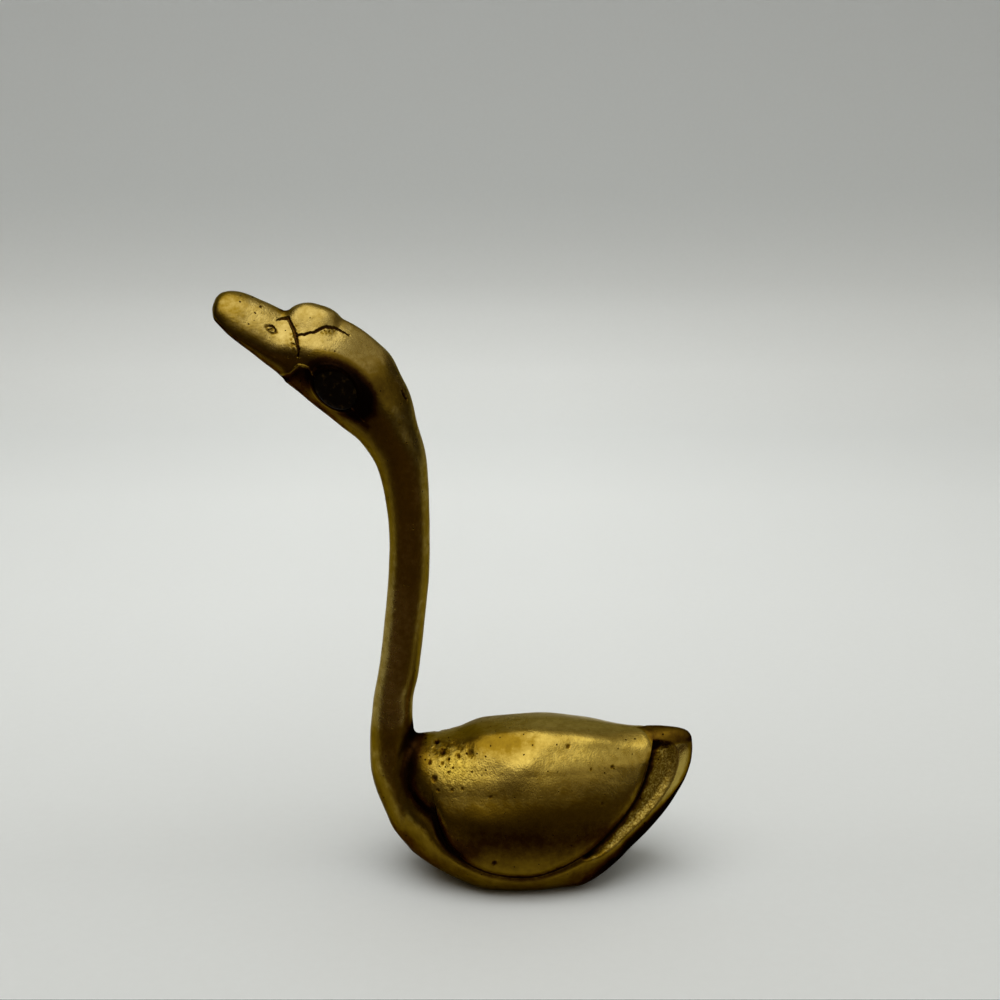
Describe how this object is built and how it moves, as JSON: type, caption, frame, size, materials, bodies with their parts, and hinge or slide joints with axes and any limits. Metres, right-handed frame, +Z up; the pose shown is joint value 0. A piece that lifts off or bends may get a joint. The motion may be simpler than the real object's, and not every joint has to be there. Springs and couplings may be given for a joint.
{
  "type": "goose figurine",
  "caption": "Cast brass goose with a tall curved neck, raised bill, dark set-in eyes and let-in wing shells, standing on a flat foot.",
  "frame": {"origin": "middle of the flat foot, on the surface that the goose stands on", "axes": "+Z up, the goose faces -X with its tail towards +X, and +Y is its right side"},
  "size_m": [0.0901, 0.0326, 0.114],
  "materials": {
    "aged_brass": "worn satin cast brass with dark brown tarnish in the hollows",
    "drawn_brass": "clean drawn rod",
    "brazing_brass": "filed flush and tarnished with the castings",
    "dark_eye": "opaque black cabochon, worn gloss"
  },
  "bodies": {
    "root": {"body_casting": "aged_brass", "left_wing": "aged_brass", "right_wing": "aged_brass", "neck_and_head": "aged_brass", "neck_dowel": "drawn_brass", "neck_braze": "brazing_brass", "left_eye": "dark_eye", "right_eye": "dark_eye"}
  },
  "joints": []
}
